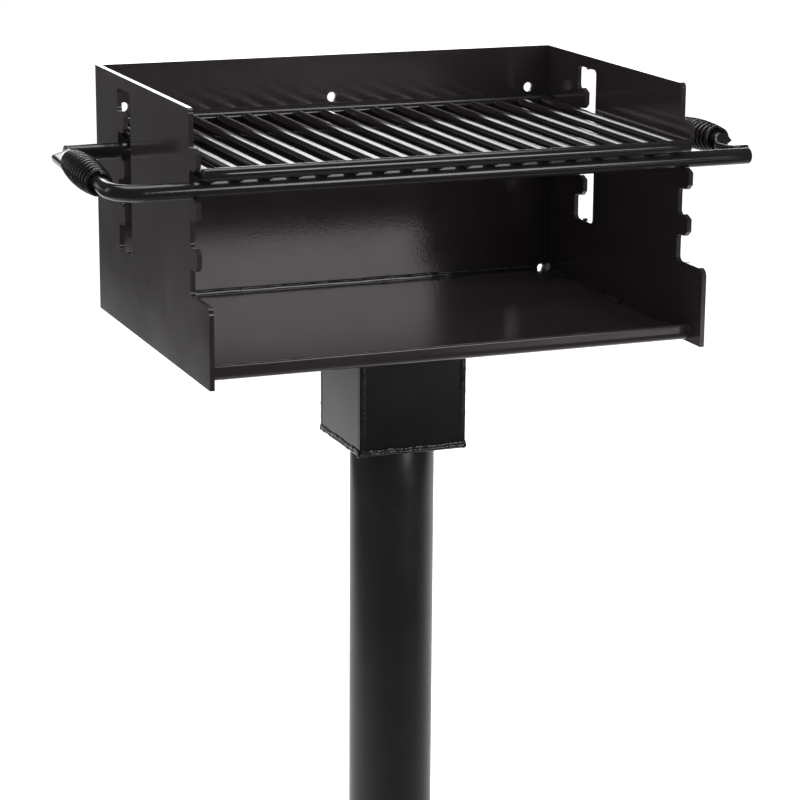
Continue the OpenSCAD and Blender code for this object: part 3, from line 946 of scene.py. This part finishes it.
@dataclass
class Grate(Assembly):
    """The grate: two carrying rods with arms, two rails, the cooking bars and their welds.

    Attributes:
        rod_end, tip_end, rail_end: round ends, as distances from the end and shares of the full size.
        bar_gap: between the rods and the cooking bars.
        grip_gap: from a grip to the start of its arm's pressed tip.
        tip_ramp: length over which the tip goes from round to flat.
    """

    body: Body = Body.GRATE
    rod_radius: float = 0.00794
    rod_end: tuple[Span, ...] = ((0.0, 0.86), (0.00035, 0.93), (0.0009, 0.98), (0.0016, 1.0))
    tip_end: tuple[Span, ...] = ((0.0005, 0.97), (0.0, 0.9))
    rail_end: tuple[Span, ...] = ((0.0, 0.85), (0.0004, 0.94), (0.0012, 1.0))
    bar_gap: float = 0.00005
    bend: float = 0.027
    grip_gap: float = 0.001
    tip_ramp: float = 0.010
    tip_round: float = 0.0012
    tip_half_width: float = 0.010
    tip_half_height: float = 0.0038
    bar_count: int = 18
    rod_sides: int = 64
    rail_sides: int = 32
    bar_sides: int = 28
    rod_rings: int = 24
    arm_rings: int = 8
    ramp_rings: int = 14
    rail_rings: int = 20
    bar_rings: int = 40

    def build(self) -> None:
        """Builds the rods, rails and bars and dresses the beads beside the bars."""
        self.carrying_rod("front_rod", LEFT_ARM)
        self.carrying_rod("rear_rod", RIGHT_ARM)
        self.rail("front_rail")
        self.rail("rear_rail")
        self.cooking_bars()
        self.dress("bar_welds", self.finishes.weld)

    def carrying_rod(self, node: str, arm: Arm) -> None:
        """Builds one rod: along X, bent back into its arm, its tip pressed flat."""
        low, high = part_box(node)
        radius, way = self.rod_radius, arm.way
        rod_y, free_x = (low[1] + radius, high[0]) if way > 0 else (high[1] - radius, low[0])
        rod_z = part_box("cooking_bar_1")[0][2] - self.bar_gap - radius
        stations = self.straight_part(free_x, arm) + self.bent_part(arm) + self.arm_part(arm)
        path = [
            Vector((x, rod_y + way * y * math.cos(arm.rise), rod_z + y * math.sin(arm.rise)))
            for x, y, _ in stations
        ]
        self.add_rod(node, path, [section for _, _, section in stations], self.rod_sides, way * arm.roll)

    def add_rod(self, node: str, path: Sequence[Vector], sections: Sequence[Section], sides: int,
                roll: float = 0.0) -> None:
        """Sweeps a rod or rail and hands it over in place of its node."""
        piece = link_mesh("grate_" + node, tube("grate_" + node, path, sections, sides, roll))
        shade_smooth(piece.data, ROD_CORNER)
        self.hand_over(piece, Slot.GRATE, [node], self.finishes.grate)

    def straight_part(self, free_x: float, arm: Arm) -> list[Station]:
        """Gives a rod's stations from its cut end, slightly round, to just before the bend."""
        bend_x = arm.way * (self.bend - arm.reach)
        places = [(free_x - arm.way * back, share) for back, share in self.rod_end]
        places += [(x, 1.0) for x in spaced(free_x, bend_x, self.rod_rings)[:-1]]
        return [(x, 0.0, circle(self.rod_radius * share)) for x, share in places]

    def bent_part(self, arm: Arm) -> list[Station]:
        """Gives a rod's stations round the bend."""
        full, bend = circle(self.rod_radius), self.bend
        angles = [0.0] + spaced(0.0, math.pi / 2, self.rod_rings)
        places = [(bend * (1 - math.sin(a)) - arm.reach, bend * (1 - math.cos(a))) for a in angles]
        return [(arm.way * x, y, full) for x, y in places]

    def arm_part(self, arm: Arm) -> list[Station]:
        """Gives a rod's stations along its arm, to the end of the pressed tip."""
        flat = self.pressed(1.0)
        ramp_start = arm.grip_from + COIL.length + self.grip_gap
        flat_start = ramp_start + self.tip_ramp
        flat_end = arm.length - self.tip_round
        stages = [(y, circle(self.rod_radius)) for y in spaced(self.bend, ramp_start, self.arm_rings)]
        for share in spaced(0.0, 1.0, self.ramp_rings):
            stages.append((ramp_start + self.tip_ramp * share, self.pressed(share)))
        stages += [(y, flat) for y in spaced(flat_start, flat_end, self.arm_rings)]
        for back, share in self.tip_end:
            shrunk = Section(flat.half_width * share, flat.half_height * share, flat.drop, flat.square)
            stages.append((arm.length - back, shrunk))
        return [(-arm.way * arm.reach, y, section) for y, section in stages]

    def pressed(self, share: float) -> Section:
        """Gives the section on the way from round, at 0, to pressed flat, at 1."""
        radius = self.rod_radius
        ease = share * share * (3 - 2 * share)
        half_w = radius + (self.tip_half_width - radius) * ease
        half_h = radius + (self.tip_half_height - radius) * ease
        return Section(half_w, half_h, radius - half_h, ease)

    def rail(self, node: str) -> None:
        """Builds a rail across the bars' ends, its cut ends slightly round."""
        low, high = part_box(node)
        radius = (high[2] - low[2]) / 2
        y, z = (low[1] + high[1]) / 2, (low[2] + high[2]) / 2
        places = [(low[0] + back, share) for back, share in self.rail_end]
        places += [(x, 1.0) for x in spaced(low[0], high[0], self.rail_rings)[:-1]]
        places += [(high[0] - back, share) for back, share in reversed(self.rail_end)]
        path = [Vector((x, y, z)) for x, _ in places]
        self.add_rod(node, path, [circle(radius * share) for _, share in places], self.rail_sides)

    def cooking_bars(self) -> None:
        """Builds the cooking bars as one bar repeated along the rods."""
        low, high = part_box("cooking_bar_1")
        last_low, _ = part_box(f"cooking_bar_{self.bar_count}")
        start = ((low[0] + high[0]) / 2, low[1], (low[2] + high[2]) / 2)
        b = GeometryBuilder("cooking_bars_nodes")
        count, gap, length, radius = b.sizes(
            Bars=self.bar_count,
            Bar_Pitch=(last_low[0] - low[0]) / (self.bar_count - 1),
            Bar_Length=high[1] - low[1],
            Bar_Radius=(high[0] - low[0]) / 2,
        )
        end, offset = b.vector(0.0, length, 0.0), b.vector(gap, 0.0, 0.0)
        axis = b.node("GeometryNodeCurvePrimitiveLine", Start=(0.0, 0.0, 0.0), End=end)
        fine = b.node("GeometryNodeResampleCurve", axis, Count=self.bar_rings)
        bar = b.swept(fine, self.bar_sides, radius)
        row = b.node("GeometryNodeMeshLine", Count=count, Start_Location=start, Offset=offset)
        b.finish(b.node("GeometryNodeInstanceOnPoints", row, Instance=bar), self.finishes.grate)
        piece = b.apply("grate_cooking_bars")
        outwards(piece.data)
        shade_smooth(piece.data, ROD_CORNER)
        self.hand_over(piece, Slot.GRATE, [f"cooking_bar_{i}" for i in range(1, self.bar_count + 1)])


@dataclass
class CoilGrip(Assembly):
    """A barrel-shaped coil of wire, loose on its arm."""

    arm: Arm = LEFT_ARM

    def build(self) -> None:
        """Winds the coil and puts it on its arm."""
        node = self.body.value
        low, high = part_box(node)
        b = GeometryBuilder(node + "_nodes")
        turns, steps, pitch, inner, outer, wire = b.sizes(
            Turns=COIL.turns, Steps_per_Turn=COIL.steps, Turn_Pitch=COIL.turn_pitch,
            End_Radius=COIL.end_radius, Middle_Radius=COIL.middle_radius, Wire_Radius=COIL.wire,
        )
        index = b.node("GeometryNodeInputIndex")
        count = turns * steps
        share = index / count
        swell = inner + (outer - inner) * ((share * math.pi).sine().at_least(0.0) ** COIL.barrel)
        angle = index * math.tau / steps
        place = b.vector(swell * angle.cosine(), swell * angle.sine(), (share - 0.5) * turns * pitch)
        line = b.node("GeometryNodeMeshLine", Count=count + 1.0)
        wound = b.node("GeometryNodeSetPosition", line, Position=place)
        axis = b.node("GeometryNodeMeshToCurve", wound)
        b.finish(b.swept(axis, COIL.sides, wire), self.finishes.grip)
        piece = b.apply("coil_" + node)
        centre = Vector([(low[k] + high[k]) / 2 for k in range(3)])
        along = Vector((0, self.arm.way * math.cos(self.arm.rise), math.sin(self.arm.rise)))
        turn = along.to_track_quat("Z", "X").to_matrix().to_4x4()
        piece.data.transform(Matrix.Translation(centre) @ turn)
        outwards(piece.data)
        shade_smooth(piece.data, BEAD_CORNER)
        self.hand_over(piece, Slot.GRIP, [node])


@dataclass(frozen=True)
class PhotoCamera:
    """The photograph's camera, solved from measured points.

    Attributes:
        yaw, pitch, roll: its turn about Z, its tilt and its roll in degrees.
        focal, frame: focal length and width of the photograph in pixels.
        sensor: width of the sensor in millimetres.
    """

    place: Point = (-0.979318, -2.470267, 1.319754)
    yaw: float = -21.797
    pitch: float = -14.700
    roll: float = 0.403
    focal: float = 2698.768
    frame: float = 800.0
    sensor: float = 36.0

    def build(self) -> None:
        """Makes the camera and sets it as the scene's."""
        turns = ((self.yaw, "Z"), (90.0 + self.pitch, "X"), (self.roll, "Z"))
        yaw, pitch, roll = (Matrix.Rotation(math.radians(angle), 4, axis) for angle, axis in turns)
        data = bpy.data.cameras.new("photo_camera")
        data.sensor_fit = "HORIZONTAL"
        data.sensor_width = self.sensor
        data.lens = self.focal * self.sensor / self.frame
        camera = put_in_scene("photo_camera", data)
        camera.matrix_world = Matrix.Translation(self.place) @ yaw @ pitch @ roll
        bpy.context.scene.camera = camera


@dataclass(frozen=True)
class Softbox:
    """A soft lamp, a rectangle or an oval, that faces its aim, by default the firebox's middle."""

    name: str
    place: Point
    width: float
    height: float
    power: float
    aim: Point = (0.0, 0.0, 0.85)
    oval: bool = False

    def build(self) -> None:
        """Makes the lamp."""
        data = bpy.data.lights.new(self.name, "AREA")
        data.shape = "ELLIPSE" if self.oval else "RECTANGLE"
        data.size = self.width
        data.size_y = self.height
        data.energy = self.power
        lamp = put_in_scene(self.name, data)
        lamp.location = self.place
        lamp.rotation_euler = (Vector(self.aim) - Vector(self.place)).to_track_quat("-Z", "Y").to_euler()


@dataclass(frozen=True)
class Studio:
    """A white floor and surround, lit behind the grill and dim in front of it, with soft lamps.

    Attributes:
        floor_fill: how bright the floor is for the camera where no lamp reaches it.
        surround: the surround's brightness as light.
        dim, lit: what mirrors see in front of the grill and on the floor behind it.
        backdrop: what mirrors see low behind the grill.
        low_glow: what mirrors see on the floor in front, to the right.
        aside: what mirrors see of the floor far to the left.
    """

    floor_reach: float = 9.0
    floor_tone: float = 0.8
    floor_fill: float = 0.72
    surround: float = 0.5
    dim: float = 0.06
    lit: float = 1.1
    backdrop: float = 0.7
    low_glow: float = 2.2
    aside: float = 0.095
    lit_from: Span = (-0.9, 0.5)
    aside_to: Span = (-1.15, -0.8)
    glow_left: Span = (0.95, 1.5)
    glow_right: Span = (2.0, 2.4)
    glow_front: Span = (-3.2, -3.0)
    glow_back: Span = (-2.55, -2.4)
    backdrop_from: Span = (0.2, 0.8)
    backdrop_to: Span = (0.1, 0.25)

    def build(self) -> None:
        """Builds the whole stage."""
        self.floor()
        self.world()
        for lamp in self.lamps():
            lamp.build()
        bpy.context.scene.view_settings.view_transform = "Standard"

    def lamps(self) -> list[Softbox]:
        """The soft lamps: one overhead, three behind, one in front to the right and one on the left."""
        return [
            Softbox("overhead", (0.0, 0.2, 2.9), width=2.0, height=1.4, power=31.0),
            Softbox("behind", (0.05, 2.3, 2.05), width=0.55, height=0.7, power=6.2),
            Softbox("behind_right", (0.6, 2.3, 1.8), width=0.35, height=0.7, power=2.6),
            Softbox("behind_low", (0.95, 2.3, 1.3), width=1.9, height=0.32, power=8.6, aim=(0.95, 0.0, 0.9)),
            Softbox("front_right", (1.05, -2.9, 1.35), width=1.0, height=1.2, power=21.5, oval=True),
            Softbox("left_strip", (-2.6, 0.6, 1.6), width=0.5, height=1.6, power=5.0),
        ]

    def floor(self) -> None:
        """Lays the floor: white for the camera and for mirrors behind the grill, matte for light."""
        r = self.floor_reach
        corners = [(-r, -r, 0), (r, -r, 0), (r, r, 0), (-r, r, 0)]
        floor = link_mesh("studio_floor", mesh_from("studio_floor", corners, faces=[(0, 1, 2, 3)]))
        b = ShaderBuilder("studio_floor")
        seen, glossy = b.rays()
        x, y, _ = b.axes(b.coordinates)
        lit = self.aside + (self.lit - self.aside) * x.smooth(*self.aside_to)
        across = x.smooth(*self.glow_left) * (1.0 - x.smooth(*self.glow_right))
        along = y.smooth(*self.glow_front) * (1.0 - y.smooth(*self.glow_back))
        mirrored = self.dim + (lit - self.dim) * y.smooth(*self.lit_from) + self.low_glow * across * along
        strength = seen * self.floor_fill + (1.0 - seen) * glossy * mirrored
        pale, grey = (self.floor_tone,) * 3, (self.floor_tone * 0.97,) * 3
        matte = b.node("ShaderNodeBsdfDiffuse", b.mix_colour(b.noise(3.0), pale, grey))
        unlit = b.node("ShaderNodeBsdfDiffuse", BLACK)
        base = b.node("ShaderNodeMixShader", (1.0 - seen) * glossy, matte, unlit)
        glow = b.node("ShaderNodeEmission", WHITE, strength)
        floor.data.materials.append(b.surface(b.node("ShaderNodeAddShader", base, glow)))

    def world(self) -> None:
        """Gives the surround its brightness for the camera, for mirrors and for light."""
        world = bpy.data.worlds.new("studio")
        world.use_nodes = True
        world.node_tree.nodes.clear()
        b = TreeBuilder(world.node_tree)
        seen, glossy = b.rays()
        _, y, z = b.axes(b.node("ShaderNodeTexCoord", out="Object"))
        backdrop = y.smooth(*self.backdrop_from) * (1.0 - z.smooth(*self.backdrop_to))
        mirrored = self.dim + (self.backdrop - self.dim) * backdrop
        strength = seen + (1.0 - seen) * (glossy * mirrored + (1.0 - glossy) * self.surround)
        b.node("ShaderNodeOutputWorld", b.node("ShaderNodeBackground", WHITE, strength))
        bpy.context.scene.world = world


def main() -> None:
    """Builds the stage and every sub-assembly."""
    logging.basicConfig(level=logging.INFO, format="%(name)s: %(message)s")
    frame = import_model()
    PhotoCamera().build()
    Studio().build()
    finishes = Finishes()
    assemblies = [
        Post(frame, finishes),
        MountBlock(frame, finishes),
        Firebox(frame, finishes),
        Grate(frame, finishes),
        CoilGrip(frame, finishes, body=Body.LEFT_GRIP, arm=LEFT_ARM),
        CoilGrip(frame, finishes, body=Body.RIGHT_GRIP, arm=RIGHT_ARM),
    ]
    for assembly in assemblies:
        assembly.build()


if __name__ == "__main__":
    main()
